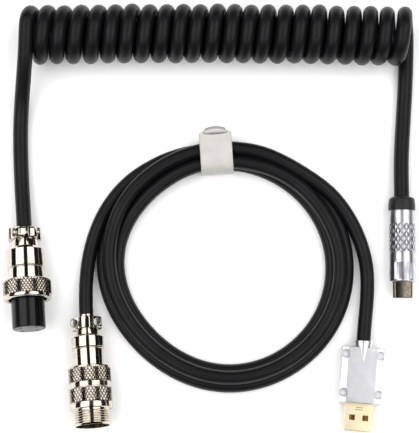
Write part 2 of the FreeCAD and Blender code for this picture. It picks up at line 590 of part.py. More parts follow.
def cords():
    curly, host = size("curly_cord_r"), size("host_cord_r")
    cord("curly_cord_left_tail", [
        (-77.1, 106.0, 22.3), (-78.1, 95.6, 20.2), (-79.6, 85.2, 13.2), (-81.0, 75.6, 6.3), (-81.7, 64.6, 3.5),
        (-81.4, 52.6, 3.3), (-80.6, 39.4, 4.3), in_plug("ring", -5.0, "ring_pitch"),
        in_plug("ring", size("cord_inside"), "ring_pitch"),
    ], curly)  # fmt: skip
    cord("curly_cord_coil", [
        (-73.6, 103.7, 12.8), (-31.0, 104.3, 12.8), (26.0, 104.6, 12.8), (81.9, 103.2, 12.8),
    ], size("coil_r"))  # fmt: skip
    cord("curly_cord_right_tail", [
        (85.7, 103.0, 3.4), (85.3, 91.4, 3.3), (84.6, 79.6, 3.35), (83.8, 68.5, 3.3), (83.0, 58.0, 3.5),
        (82.4, 48.3, 4.5), in_plug("tc", -1.0), in_plug("tc", size("tc_ferrule_end")),
    ], curly)  # fmt: skip
    cord("host_cord_left_tail", [
        (-26.5, 48.2, 3.2), (-36.6, 40.2, 3.2), (-44.7, 29.6, 3.25), (-49.9, 17.2, 3.2), (-52.4, 4.0, 3.4),
        in_plug("male", -6.5, "male_pitch"), in_plug("male", size("cord_inside"), "male_pitch"),
    ], host)  # fmt: skip
    cord("host_cord_right_tail", [
        (38.5, 46.6, 8.6), (49.0, 39.2, 7.0), (57.7, 29.6, 4.9), (64.0, 18.0, 3.4), (67.4, 5.4, 3.0),
        (67.3, -8.0, 3.3), in_plug("ta", -7.0), in_plug("ta", size("ta_cord_inside")),
    ], host)  # fmt: skip
    loop = new_body("host_cord_loop", FreeCAD.Placement(
        FreeCAD.Vector(size("loop_x"), size("loop_y"), 0), FreeCAD.Rotation(Z, size("tie_turn"))))  # fmt: skip
    inside, outside = "loop_r - loop_half", "loop_r + loop_half"
    low, high = "loop_low_round", "loop_high_round"
    turn(loop, [
        (inside, low), (f"{inside} + {low}", "0"), (f"{outside} - {low}", "0"), (outside, low),
        (outside, f"loop_top - {high}"), (f"{outside} - {high}", "loop_top"), (f"{inside} + {high}", "loop_top"),
        (inside, f"loop_top - {high}"),
    ])  # fmt: skip
    under = rectangle(loop, "XY_Plane", ("-tie_wide / 2 - tie_play", "loop_r - 2 * loop_half"),
                      ("tie_wide / 2 + tie_play", "loop_r + 2 * loop_half"))  # fmt: skip
    cut(loop, under, "tie_low + tie_thick / 2", reverse=True)


def strap(label, corners, width, share):
    """A flat strap along (outward, up) corners, centred across its width."""
    route = [FreeCAD.Vector(0, size(out), size(up)) for out, up in corners]
    path, _ = rounded_path(route, share)
    across = X * size(width) / 2
    thick = (route[1] - route[0]).cross(X).normalize() * size("tie_thick") / 2
    section = Part.makePolygon([route[0] + a + b for a, b in (
        (across, thick), (across, -thick), (-across, -thick), (-across, thick), (across, thick))])  # fmt: skip
    piece = doc.addObject("Part::Feature", label)
    piece.Shape = path.makePipeShell([section], True, False)
    return piece


def tie():
    """The strap runs from its slotted head over the loop, under it and up through the slot, and folds back."""
    frame = FreeCAD.Placement(FreeCAD.Vector(size("loop_x"), size("loop_y"), 0), FreeCAD.Rotation(Z, size("tie_turn")))
    frame = frame.multiply(FreeCAD.Placement(FreeCAD.Vector(0, size("loop_r"), 0), FreeCAD.Rotation()))
    band = strap("band", [
        ("tie_head", "tie_high"), ("-tie_in", "tie_high"), ("-tie_in", "tie_low"), ("tie_outer_low", "tie_low"),
        ("tie_slot_at", "tie_outer_high"),
    ], "tie_wide", 0.12)  # fmt: skip
    slot = bar("tie_slot_long", "tie_slot_wide", "tie_high - tie_thick", "tie_high + tie_thick",
               at_y="tie_slot_at")  # fmt: skip
    fold, out = "tie_high + tie_fold_r", "tie_head + tie_fold_r"
    root = strap("root", [
        ("tie_slot_at", "tie_root_low"), ("tie_slot_at", fold), ("tie_root_end", fold),
    ], "tie_tail_wide", 0.45)  # fmt: skip
    keep(fused(less(band, slot), root), "tie_band", frame)
    middle = f"tie_fold_r * {math.sqrt(0.5):.4f}"
    tail = strap("tail", [
        (f"tie_head + {middle}", f"tie_high + {middle}"), (out, "tie_high"), ("tie_tail_out", "tie_tail_low"),
    ], "tie_tail_wide", 0.45)  # fmt: skip
    group("tie_tail", [tail], frame)


ring_coupler()
thread_coupler()
type_c_plug()
type_a_plug()
cords()
tie()
doc.recompute()

for item in doc.Objects:
    if {"Invalid", "Error"} & set(item.State):
        raise ValueError(f"{item.Label} failed: {item.State}")
for piece in pieces:
    if piece.Shape.isNull() or not piece.Shape.isValid() or not piece.Shape.Solids:
        raise ValueError(f"{piece.Label} has no valid shape")

os.makedirs("parts", exist_ok=True)
for piece in pieces:
    piece.Shape.exportStep(f"parts/{piece.Label}.step")
print(len(pieces), "pieces written")
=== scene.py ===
import json
import math

import bmesh
import bpy
from mathutils import Matrix, Vector


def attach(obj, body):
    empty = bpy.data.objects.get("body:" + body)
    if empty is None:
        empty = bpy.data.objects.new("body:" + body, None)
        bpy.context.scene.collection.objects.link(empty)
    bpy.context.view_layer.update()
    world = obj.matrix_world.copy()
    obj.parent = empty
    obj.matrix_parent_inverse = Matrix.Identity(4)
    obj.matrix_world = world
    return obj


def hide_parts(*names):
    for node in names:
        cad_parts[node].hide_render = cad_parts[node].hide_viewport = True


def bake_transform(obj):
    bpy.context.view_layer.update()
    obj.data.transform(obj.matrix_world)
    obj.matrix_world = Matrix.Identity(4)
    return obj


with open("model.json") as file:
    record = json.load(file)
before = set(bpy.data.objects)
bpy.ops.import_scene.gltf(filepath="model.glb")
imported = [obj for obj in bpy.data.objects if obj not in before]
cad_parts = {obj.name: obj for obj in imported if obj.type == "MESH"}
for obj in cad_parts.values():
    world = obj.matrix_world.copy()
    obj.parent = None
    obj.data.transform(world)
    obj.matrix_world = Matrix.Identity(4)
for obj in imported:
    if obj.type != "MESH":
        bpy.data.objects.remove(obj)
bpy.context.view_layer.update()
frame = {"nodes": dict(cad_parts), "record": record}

# A detachable coiled cable set lying on a pale table: a coiled cable with a lock-ring coupler and a
# type-C plug, and a host cable in a tied loop with a threaded coupler and a type-A plug.
# Shapes are worked out in millimetres in each piece's own frame, and placed in metres.

MM = 0.001
FULL_TURN = 2 * math.pi
scene = bpy.context.scene


# --- frames --------------------------------------------------------------------------------------


def plug_frame(mount, station):
    """A plug's own frame: z runs from cord to nose, x right and y up. The mount is at the station."""
    spec = next(m for m in frame["record"]["mounts"] if m["name"] == mount)
    nose = Vector(spec["axis"]).normalized()
    right = Vector((0, 0, 1)).cross(nose).normalized()
    turned_axes = Matrix((right, nose.cross(right), nose)).transposed()
    return Matrix.Translation(Vector(spec["pos_m"]) - nose * station * MM) @ turned_axes.to_4x4()


RING = plug_frame("lock_ring_thread", 27.0)
THREAD = plug_frame("host_thread", 42.6)
TYPE_C = plug_frame("type_c_nose", 43.0)
TYPE_A = plug_frame("type_a_nose", 38.2)
CLAMP_ROLL = math.radians(75)  # the ring coupler lies with its clamp on its side
ROLLED = RING @ Matrix.Rotation(CLAMP_ROLL, 4, "Z")

LOOP_CENTRE, LOOP_R = Vector((6.1, 4.5, 0)), 48.3
TIE_TURN = math.radians(3.8)
TIE = (
    Matrix.Translation(LOOP_CENTRE * MM)
    @ Matrix.Rotation(TIE_TURN, 4, "Z")
    @ Matrix.Translation((0, LOOP_R * MM, 0))
)


def on_axis(place, station):
    """A point on a plug's axis, in millimetres in the common frame."""
    return tuple(place @ Vector((0, 0, station * MM)) / MM)


# --- materials -----------------------------------------------------------------------------------


def linear(code):
    """A linear colour from an sRGB hex value."""
    shares = [int(code[i : i + 2], 16) / 255 for i in (1, 3, 5)]
    return [s / 12.92 if s <= 0.04045 else ((s + 0.055) / 1.055) ** 2.4 for s in shares] + [1.0]


def add(material, kind, inputs, into=None, **settings):
    """A node with its settings. An input is a value or a socket. Into says where which output goes."""
    made = material.node_tree.nodes.new("ShaderNode" + kind)
    for name, value in settings.items():
        setattr(made, name, value)
    for name, value in inputs.items():
        if isinstance(value, bpy.types.NodeSocket):
            material.node_tree.links.new(value, made.inputs[name])
        else:
            made.inputs[name].default_value = value
    if into:
        output, receiver, socket = into
        material.node_tree.links.new(made.outputs[output], receiver.inputs[socket])
    return made


def finish(name, place=Matrix(), **sockets):
    """A new material, its shader with constant values, and a piece's own coordinates in millimetres."""
    material = bpy.data.materials.new(name)
    material.use_nodes = True
    shader = material.node_tree.nodes["Principled BSDF"]
    for socket, value in sockets.items():
        shader.inputs[socket.replace("_", " ")].default_value = value
    coordinates = add(material, "TexCoord", {})
    where = add(material, "Mapping", {
        "Vector": coordinates.outputs["Object"], "Location": place.to_translation(),
        "Rotation": place.to_euler(), "Scale": (MM, MM, MM),
    }, vector_type="TEXTURE")  # fmt: skip
    return material, shader, where.outputs["Vector"]


def uneven(material, shader, where, patch, colours, roughness):
    """Lets colour and gloss wander together over patches of a size in millimetres."""
    noise = add(material, "TexNoise", {"Vector": where, "Scale": 1 / patch, "Detail": 3.0})
    ramp = add(material, "ValToRGB", {"Fac": noise.outputs["Fac"]}, into=("Color", shader, "Base Color"))
    for stop, position, colour in zip(ramp.color_ramp.elements, (0.35, 0.65), colours):
        stop.position, stop.color = position, linear(colour)
    add(material, "MapRange", {
        "Value": noise.outputs["Fac"], "From Min": 0.3, "From Max": 0.7,
        "To Min": roughness[1], "To Max": roughness[0],
    }, into=("Result", shader, "Roughness"))  # fmt: skip


def groove_polish_and_painted_shade(material, shader, colour):
    """Darkens a knurl's grooves: painted shade, with old polish that stays there. The shape carries how
    sunk they are.
    """
    first_colour, second_colour, mixed_colour = 6, 7, 2  # these sockets share their names with others
    sunk = add(material, "Attribute", {}, attribute_name="sunk")
    surface = shader.inputs["Base Color"].links[0].from_socket
    add(material, "Mix", {
        "Factor": sunk.outputs["Fac"], first_colour: surface, second_colour: linear(colour),
    }, into=(mixed_colour, shader, "Base Color"), data_type="RGBA")  # fmt: skip


def cord_jacket():
    """PVC, extruded: black with a satin skin, a fine die grain, and slightly duller stretches."""
    material, shader, where = finish("extruded_black_pvc", Specular_IOR_Level=0.22)
    uneven(material, shader, where, 8.0, ("#0A0A0B", "#0F0F11"), (0.36, 0.44))
    fine = add(material, "TexNoise", {"Vector": where, "Scale": 1 / 0.3, "Detail": 2.0})
    add(material, "Bump", {"Height": fine.outputs["Fac"], "Distance": 0.012 * MM},
        into=("Normal", shader, "Normal"))  # fmt: skip
    return material


def nickel_plate():
    """Nickel on turned brass, polished: a warm mirror with faint haze, softly uneven from polishing."""
    material, shader, where = finish("polished_nickel_plate", Metallic=1.0)
    uneven(material, shader, where, 4.0, ("#CBC0B2", "#D8D1C6"), (0.07, 0.13))
    soft = add(material, "TexNoise", {"Vector": where, "Scale": 1 / 2.5, "Detail": 1.0})
    add(material, "Bump", {"Height": soft.outputs["Fac"], "Distance": 0.012 * MM},
        into=("Normal", shader, "Normal"))  # fmt: skip
    return material


def knurled_nickel():
    """The same plate on a rolled knurl: duller, with bright diamonds and grooves darkened by painted
    shade and old polish.
    """
    material, shader, where = finish("knurled_nickel_plate", Metallic=1.0)
    uneven(material, shader, where, 3.0, ("#C6BCAE", "#DAD3C9"), (0.1, 0.18))
    # the grooves' darker colour is painted shade, with old polish in it
    groove_polish_and_painted_shade(material, shader, "#6E655A")
    return material


def insert_nylon():
    """Nylon with glass, moulded: gloss black with faint flow marks."""
    material, shader, where = finish("moulded_black_nylon", RING, Specular_IOR_Level=0.28)
    uneven(material, shader, where, 2.5, ("#080809", "#0D0D0E"), (0.18, 0.28))
    flow = add(material, "TexNoise", {
        "Vector": where, "Scale": 1 / 1.2, "Detail": 2.0, "Distortion": 1.5,
    })  # fmt: skip
    add(material, "Bump", {"Height": flow.outputs["Fac"], "Distance": 0.01 * MM},
        into=("Normal", shader, "Normal"))  # fmt: skip
    return material


def turned_aluminium():
    """Aluminium, turned and clear anodised: satin, with fine tool lines round the sleeve."""
    material, shader, where = finish("turned_satin_aluminium", TYPE_C, Metallic=1.0)
    uneven(material, shader, where, 3.0, ("#C9C9CF", "#DADADE"), (0.26, 0.36))
    # the grooves' darker colour is painted shade, with old polish in it
    groove_polish_and_painted_shade(material, shader, "#6E6E74")
    # tool lines are about 0.1 mm apart; they are drawn 0.4 mm apart, so that they show
    lines = add(material, "TexWave", {"Vector": where, "Scale": 1 / (0.4 * FULL_TURN), "Distortion": 0.4},
                bands_direction="Z")  # fmt: skip
    add(material, "Bump", {"Height": lines.outputs["Fac"], "Distance": 0.004 * MM},
        into=("Normal", shader, "Normal"))  # fmt: skip
    return material


def satin_zinc():
    """Zinc, die cast and satin plated: cool and bright, softly uneven from casting and blasting."""
    material, shader, where = finish("satin_plated_zinc", TYPE_A, Metallic=1.0)
    uneven(material, shader, where, 4.0, ("#E3E3E7", "#F0F0F3"), (0.32, 0.4))
    cast = add(material, "TexNoise", {"Vector": where, "Scale": 1 / 0.4, "Detail": 3.0})
    add(material, "Bump", {"Height": cast.outputs["Fac"], "Distance": 0.008 * MM},
        into=("Normal", shader, "Normal"))  # fmt: skip
    return material


def gold_flash(name, colours, roughness):
    """Gold flash on drawn metal: pale and warm, slightly uneven where the sheet was drawn."""
    material, shader, where = finish(name, Metallic=1.0)
    uneven(material, shader, where, 2.0, colours, roughness)
    return material


def elastomer():
    """TPE, moulded: matt black with a fine spark grain."""
    material, shader, where = finish("moulded_matt_elastomer")
    uneven(material, shader, where, 1.5, ("#0A0A0B", "#111112"), (0.42, 0.55))
    spark = add(material, "TexNoise", {"Vector": where, "Scale": 1 / 0.25, "Detail": 3.0})
    add(material, "Bump", {"Height": spark.outputs["Fac"], "Distance": 0.02 * MM},
        into=("Normal", shader, "Normal"))  # fmt: skip
    return material


def woven_tape(name, colours):
    """Hook-and-loop tape, woven nylon: off-white and dull, with a plain weave and a little fluff."""
    material, shader, where = finish(name, TIE, Sheen_Weight=0.3)
    uneven(material, shader, where, 5.0, colours, (0.8, 0.9))
    # threads are about 0.3 mm apart; they are drawn 0.6 mm apart, so that they show
    threads = [
        add(material, "TexWave", {"Vector": where, "Scale": 1 / (0.6 * FULL_TURN), "Distortion": 0.6},
            bands_direction=way)
        for way in "XY"
    ]  # fmt: skip
    weave = add(material, "Math", {
        0: threads[0].outputs["Fac"], 1: threads[1].outputs["Fac"],
    }, operation="MAXIMUM")  # fmt: skip
    add(material, "Bump", {"Height": weave.outputs["Value"], "Distance": 0.06 * MM},
        into=("Normal", shader, "Normal"))  # fmt: skip
    return material


def drawn_steel(name, colours, roughness, place=Matrix()):
    """Steel, rolled or drawn and plated: cool, with faint lines from the draw."""
    material, shader, where = finish(name, place, Metallic=1.0)
    uneven(material, shader, where, 1.5, colours, roughness)
    drawn = add(material, "TexNoise", {
        "Vector": where, "Scale": 1 / 0.8, "Detail": 3.0, "Distortion": 0.6,
    })  # fmt: skip
    add(material, "Bump", {"Height": drawn.outputs["Fac"], "Distance": 0.002 * MM},
        into=("Normal", shader, "Normal"))  # fmt: skip
    return material


def moulding(name, colours, roughness):
    """A small moulded plastic part: nearly even, with soft flow marks."""
    material, shader, where = finish(name)
    uneven(material, shader, where, 1.2, colours, roughness)
    return material


def green_lacquer():
    """Glass-fibre board with solder lacquer: green, with copper lands showing as lighter lines."""
    material, shader, where = finish("lacquered_circuit_board")
    lands = add(material, "TexBrick", {
        "Vector": where, "Color1": linear("#0C3A20"), "Color2": linear("#0E4225"),
        "Mortar": linear("#2C7A46"), "Scale": 0.5, "Mortar Size": 0.04,
    }, into=("Color", shader, "Base Color"))  # fmt: skip
    add(material, "MapRange", {"Value": lands.outputs["Fac"], "To Min": 0.3, "To Max": 0.45},
        into=("Result", shader, "Roughness"))  # fmt: skip
    return material


JACKET, NICKEL, KNURLED, INSERT = cord_jacket(), nickel_plate(), knurled_nickel(), insert_nylon()
ALUMINIUM, ZINC, CAP = turned_aluminium(), satin_zinc(), elastomer()
TAPE = woven_tape("woven_loop_tape", ("#B3B0AC", "#BBB8B4"))
HOOK_TAPE_IN_PAINTED_SHADE = woven_tape("woven_hook_tape_in_painted_shade", ("#8E8B87", "#979490"))  # the tail shows the hook side, which is thinner; its greyer colour is painted shade on the fold
GOLD = gold_flash("gold_flash_on_shell", ("#FFF0C6", "#FFF6D8"), (0.42, 0.5))
CONTACT_GOLD = gold_flash("gold_flash_on_contacts", ("#C99B3F", "#E3BC62"), (0.15, 0.25))
SCREW = drawn_steel("plated_screw_steel", ("#A6A49F", "#BCBAB5"), (0.16, 0.24))
WHITE_SCREW = drawn_steel("satin_screw_steel", ("#F2F2F3", "#FAFAFA"), (0.5, 0.58))
SHELL_STEEL = drawn_steel("drawn_bright_steel", ("#6F6A5D", "#857F71"), (0.14, 0.22), TYPE_C)
SPRING = drawn_steel("blued_spring_steel", ("#8E8C88", "#A5A39F"), (0.2, 0.3))
CARRIER = moulding("moulded_dark_pin_carrier", ("#14110F", "#1D1815"), (0.35, 0.5))
INNER = moulding("moulded_white_inner", ("#CFCDC8", "#E0DEDA"), (0.45, 0.6))
TONGUE = moulding("moulded_brown_contact_holder", ("#7A2A12", "#93381A"), (0.35, 0.5))
WIRE = moulding("extruded_wire_insulation", ("#8A1F1A", "#B03028"), (0.35, 0.45))
BOARD = green_lacquer()


# --- mesh helpers --------------------------------------------------------------------------------


def arc(centre, radius, start, end, steps=6):
    """(radius, z) corners along a round stretch of a turned outline. Angles start from outward."""
    angles = [math.radians(start + (end - start) * i / steps) for i in range(steps + 1)]
    return [(centre[0] + radius * math.cos(a), centre[1] + radius * math.sin(a)) for a in angles]


def rows(radius, start, end, count):
    """(radius, z) corners of a plain stretch, split in rows for a knurl."""
    return [(radius, start + (end - start) * i / count) for i in range(count + 1)]


def turned(profile, steps=96):
    """A body turned about z from (radius, z) corners. Its ends lie on the axis, or the outline closes."""
    bm = bmesh.new()
    verts = [bm.verts.new((radius, 0, along)) for radius, along in profile]
    solid = profile[0][0] == 0 and profile[-1][0] == 0
    edges = [bm.edges.new(pair) for pair in zip(verts, verts[1:] if solid else verts[1:] + verts[:1])]
    bmesh.ops.spin(
        bm, geom=verts + edges, cent=(0, 0, 0), axis=(0, 0, 1), dvec=(0, 0, 0), angle=FULL_TURN,
        steps=steps, use_merge=True,
    )  # fmt: skip
    bmesh.ops.remove_doubles(bm, verts=bm.verts, dist=1e-4)
    bmesh.ops.recalc_face_normals(bm, faces=bm.faces)
    return bm


def block(low, high):
    """A box between two corners."""
    bm = bmesh.new()
    bmesh.ops.create_cube(bm, size=1)
    bmesh.ops.scale(bm, vec=[b - a for a, b in zip(low, high)], verts=bm.verts)
    bmesh.ops.translate(bm, vec=[(a + b) / 2 for a, b in zip(low, high)], verts=bm.verts)
    return bm


def prism(corners, low, high):
    """An outline of (x, y) corners, pulled up along z."""
    bm = bmesh.new()
    face = bm.faces.new([bm.verts.new((*corner, low)) for corner in corners])
    pulled = bmesh.ops.extrude_face_region(bm, geom=[face])["geom"]
    top = [v for v in pulled if isinstance(v, bmesh.types.BMVert)]
    bmesh.ops.translate(bm, vec=(0, 0, high - low), verts=top)
    bmesh.ops.recalc_face_normals(bm, faces=bm.faces)
    return bm


def rod(radius, low, high, half_length=0.0, segments=48):
    """A cylinder along z, or with a half length one drawn out along x into a bar with round sides."""
    bm = bmesh.new()
    bmesh.ops.create_cone(
        bm, cap_ends=True, segments=segments, radius1=radius, radius2=radius, depth=high - low
    )
    bmesh.ops.translate(bm, vec=(0, 0, (low + high) / 2), verts=bm.verts)
    for side in (-1, 1):
        verts = [v for v in bm.verts if v.co.x * side > 1e-6]
        bmesh.ops.translate(bm, vec=(side * half_length, 0, 0), verts=verts)
    return bm


def swung(bm, degrees, axis):
    """Turns a shape about one of the frame's axes."""
    turn = Matrix.Rotation(math.radians(degrees), 3, axis)
    bmesh.ops.rotate(bm, cent=(0, 0, 0), matrix=turn, verts=bm.verts)
    return bm


def standing(bm, across=0.0, along=0.0):
    """Stands a shape that lies along z up along y, at a place on the piece."""
    swung(bm, -90, "X")
    bmesh.ops.translate(bm, vec=(across, 0, along), verts=bm.verts)
    return bm


def rounded(bm, edges, size, segments):
    """Rounds the given edges."""
    bmesh.ops.bevel(
        bm, geom=edges, offset=size, offset_type="OFFSET", segments=segments, profile=0.5,
        affect="EDGES", clamp_overlap=True, material=-1,
    )  # fmt: skip
    return bm


def soften(bm, size, segments=3, from_degrees=32):
    """Rounds the edges that turn sharply."""
    least = math.radians(from_degrees)
    sharp = [e for e in bm.edges if e.is_manifold and e.calc_face_angle(0) > least]
    return rounded(bm, sharp, size, segments)


def joined(*parts):
    """Several closed shapes in one mesh."""
    whole = bmesh.new()
    for bm in parts:
        carrier = bpy.data.meshes.new("part")
        bm.to_mesh(carrier)
        bm.free()
        whole.from_mesh(carrier)
        bpy.data.meshes.remove(carrier)
    return whole


def as_object(bm, name):
    """A scene object from a shape, which is used up."""
    mesh = bpy.data.meshes.new(name)
    bm.to_mesh(mesh)
    bm.free()
    made = bpy.data.objects.new(name, mesh)
    scene.collection.objects.link(made)
    return made


def final_shape(made):
    """The shape that an object's modifiers give, with the object itself removed."""
    bpy.context.view_layer.update()
    result = bmesh.new()
    result.from_mesh(made.evaluated_get(bpy.context.evaluated_depsgraph_get()).to_mesh())
    mesh = made.data
    bpy.data.objects.remove(made)
    bpy.data.meshes.remove(mesh)
    return result


def carved(bm, tool, operation="DIFFERENCE"):
    """A boolean of two closed shapes."""
    base, cutter = as_object(bm, "base"), as_object(tool, "cutter")
    modifier = base.modifiers.new("carve", "BOOLEAN")
    modifier.operation, modifier.object, modifier.solver = operation, cutter, "EXACT"
    result = final_shape(base)
    mesh = cutter.data
    bpy.data.objects.remove(cutter)
    bpy.data.meshes.remove(mesh)
    bmesh.ops.remove_doubles(result, verts=result.verts, dist=1e-4)
    return result


def saw(share):
    """0 at every whole number and 1 midway between."""
    return 1 - abs(2 * (share % 1) - 1)


def knurl(bm, radius, start, end, count, along, depth, flat=0.8):
    """Sinks crossed grooves between two stations of a turned surface.

    There are count diamonds round it, each with the length along. Their tops are cut off at flat.
    """
    sunk = bm.verts.layers.float.get("sunk") or bm.verts.layers.float.new("sunk")
    for vert in bm.verts:
        if abs(math.hypot(vert.co.x, vert.co.y) - radius) > 1e-3 or not start < vert.co.z < end:
            continue
        round_share = math.atan2(vert.co.y, vert.co.x) / FULL_TURN * count
        along_share = (vert.co.z - start) / along
        height = min(saw(round_share + along_share), saw(round_share - along_share))
        vert[sunk] = 1 - min(1, height / flat)
        share = 1 - depth * vert[sunk] / radius
        vert.co.x, vert.co.y = vert.co.x * share, vert.co.y * share
    middles = {f: f.calc_center_median() for f in bm.faces}
    cut = [f for f, middle in middles.items() if start < middle.z < end and middle.xy.length > radius - 1]
    bmesh.ops.triangulate(bm, faces=cut, quad_method="SHORT_EDGE")
    return bm


def piece(name, bm, place, material, body, node=None, sharp=35):
    """Files a finished shape in metres and in its place, riding on its body. It stands for a CAD node."""
    node = node or name
    bm.transform(place @ Matrix.Scale(MM, 4))
    made = as_object(bm, name + "_detail")
    made.data.shade_smooth()
    made.data.set_sharp_from_angle(angle=math.radians(sharp))
    made.data.materials.append(material)
    if body:
        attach(made, body)
    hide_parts(node)
    return made


# --- round couplers ------------------------------------------------------------------------------

CLAMP_LENGTH, CLAMP_GAP, SCREW_AT, CORD_BORE = 5.4, 0.35, 4.9, 3.3


def clamp_half(lug, ear, jaw, side, length):
    """Half of the cord clamp: two ears with round ends, and a round jaw over the cord between them."""
    slope, jaw_half = 1.5, 3.0
    right = [
        (lug, CLAMP_GAP), (lug, ear - slope), (lug - slope, ear), (jaw_half, ear),
        (0.85 * jaw_half, ear + 0.55 * (jaw - ear)), (0.55 * jaw_half, ear + 0.9 * (jaw - ear)),
    ]  # fmt: skip
    corners = right + [(0, jaw)] + [(-x, y) for x, y in reversed(right)]
    bm = prism([(x, side * y) for x, y in corners], 0, length)
    on_ears = [e for e in bm.edges if min(abs(v.co.x) for v in e.verts) > lug - slope - 1e-3]
    rims = [e for e in on_ears if abs(e.verts[0].co.z - e.verts[1].co.z) < 1e-6]
    rounded(bm, rims, 0.42 * length, 6)
    soften(bm, 0.5, 3, 25)
    return carved(bm, rod(CORD_BORE, -1, length + 1, segments=64))


def clamp_screws(name, place, ear, body):
    """Two slotted cheese-head screws that draw the clamp's halves together."""
    head_r, head_high, shank_r, tip, slot_half, slot_deep = 1.8, 1.3, 0.95, 5.4, 0.28, 0.6
    screws = []
    for across in (-SCREW_AT, SCREW_AT):
        top = ear + head_high
        head = soften(rod(head_r, ear, top), 0.35, 4)
        slot = block((-slot_half, -3, top - slot_deep), (slot_half, 3, top + 1))
        screw = joined(carved(head, slot), rod(shank_r, -tip, ear + 0.1))
        screws.append(standing(screw, across, CLAMP_LENGTH / 2))
    piece(name, joined(*screws), place, SCREW, body)


def shell_and_neck(neck, neck_end, back, back_end, cavity, shoulder):
    """The rear shell with its shoulder, and the neck that leads to the clamp."""
    lap, wall, fillet, rim = 0.4, 1.6, 0.3, 0.25
    return soften(turned([
        (CORD_BORE, CLAMP_LENGTH - lap), (neck, CLAMP_LENGTH - lap), (neck, neck_end - fillet),
        *arc((neck + fillet, neck_end - fillet), fillet, 180, 90, 3),
        *arc((back - shoulder, neck_end + shoulder), shoulder, 90, 0),
        (back, back_end - rim), (back - rim, back_end), (cavity, back_end), (cavity, neck_end + wall),
        (CORD_BORE, neck_end + wall),
    ]), 0.12, 2, 40)  # fmt: skip


def ring_coupler():
    """The coiled cable's coupler: a two-part shell, a knurled lock ring, an insert with four sockets."""
    body = "coiled_cable"
    lug, ear, jaw = 6.7, 4.75, 7.2
    shell = shell_and_neck(5.8, 8.6, 8.0, 17.3, 6.9, 1.2)
    fixed = clamp_half(lug, ear, jaw, -1, CLAMP_LENGTH)
    piece("ring_coupler_back_shell", joined(shell, fixed), ROLLED, NICKEL, body)
    piece("ring_coupler_clamp_bar", clamp_half(lug, ear, jaw, 1, 4.9), ROLLED, NICKEL, body)
    clamp_screws("ring_coupler_clamp_screws", ROLLED, ear, body)
    front = turned([
        (7.0, 17.4), (7.75, 17.4), *arc((7.75, 17.65), 0.25, -90, 90, 6), (7.52, 17.95), (7.52, 24.3),
        (7.4, 24.5), (7.0, 24.5),
    ])  # fmt: skip
    piece("ring_coupler_front_shell", front, RING, NICKEL, body)
    insert = soften(rod(7.0, 19.0, 43.5, segments=96), 0.6, 4)
    hole_r, spread = 0.72, 4.6
    holes = [rod(hole_r, 37, 45, segments=24) for _ in range(4)]
    for number, hole in enumerate(holes):
        angle = math.radians(45 + 90 * number)
        spot = (spread * math.cos(angle), spread * math.sin(angle), 0)
        bmesh.ops.translate(hole, vec=spot, verts=hole.verts)
    keyway = swung(block((-1.0, 6.2, 31.5), (1.0, 8.0, 45.0)), -38, "Z")
    piece("ring_coupler_insert", carved(insert, joined(*holes, keyway)), RING, INSERT, body)
    ring_r, count, along, depth = 10.2, 44, 2.0, 0.24
    knurl_start, knurl_end = 23.7, 29.7
    ring = turned([
        (7.6, 22.9), (ring_r - 0.5, 22.9), *arc((ring_r - 0.5, 23.4), 0.5, -90, 0, 3),
        *rows(ring_r, knurl_start, knurl_end, 12), *arc((ring_r - 0.7, 30.3), 0.7, 0, 60, 4),
        (9.5, 31.1), (8.3, 31.1), (8.1, 30.9), (8.1, 24.4), (7.6, 24.4),
    ], 4 * count)  # fmt: skip
    knurl(ring, ring_r, knurl_start, knurl_end, count, along, depth)
    piece("ring_coupler_lock_ring", ring, RING, KNURLED, "lock_ring", sharp=25)


def thread_coupler():
    """The host cable's coupler: a two-part shell, and a knurled barrel with the thread and a key."""
    body = "host_cable"
    lug, ear, jaw = 6.4, 2.95, 5.0
    shell = shell_and_neck(4.8, 7.9, 6.9, 13.3, 5.9, 0.8)
    fixed = clamp_half(lug, ear, jaw, -1, CLAMP_LENGTH)
    piece("thread_coupler_back_shell", joined(shell, fixed), THREAD, NICKEL, body)
    piece("thread_coupler_clamp_bar", clamp_half(lug, ear, jaw, 1, 4.9), THREAD, NICKEL, body)
    clamp_screws("thread_coupler_clamp_screws", THREAD, ear, body)
    front = turned([
        (5.9, 13.4), (6.65, 13.4), *arc((6.65, 13.65), 0.25, -90, 90, 6), (6.4, 13.95), (6.4, 21.4),
        (5.9, 21.4),
    ])  # fmt: skip
    piece("thread_coupler_front_shell", front, THREAD, NICKEL, body)
    barrel_r, count, depth, pitch = 9.0, 38, 0.24, 1.0
    first, second = (21.9, 27.9), (30.15, 36.9)
    root_r, crest_r = 7.5, 8.0
    crests = [
        corner for along in (number * pitch for number in range(6))
        for corner in ((root_r, 39.75 + along), (crest_r, 40.1 + along), (crest_r, 40.25 + along))
    ]  # fmt: skip
    barrel = turned([
        (6.4, 21.2), (barrel_r - 0.5, 21.2), *arc((barrel_r - 0.5, 21.7), 0.5, -90, 0, 3),
        *rows(barrel_r, *first, 12), (barrel_r - 0.5, 28.1), (barrel_r - 0.5, 29.95),
        *rows(barrel_r, *second, 12), (barrel_r, 38.9), (barrel_r - 0.3, 39.2), (7.6, 39.2), *crests,
        (root_r, 45.75), (7.35, 46.0), (7.1, 46.0), (7.1, 21.4), (6.4, 21.4),
    ], 4 * count)  # fmt: skip
    for start, end in (first, second):
        knurl(barrel, barrel_r, start, end, count, (end - start) / 3, depth)
    key = swung(soften(block((-0.9, 6.4, 37.0), (0.9, 7.3, 45.0)), 0.15), 52, "Z")
    piece("thread_coupler_barrel", joined(barrel, key), THREAD, KNURLED, body, sharp=25)


# --- type-C plug ---------------------------------------------------------------------------------


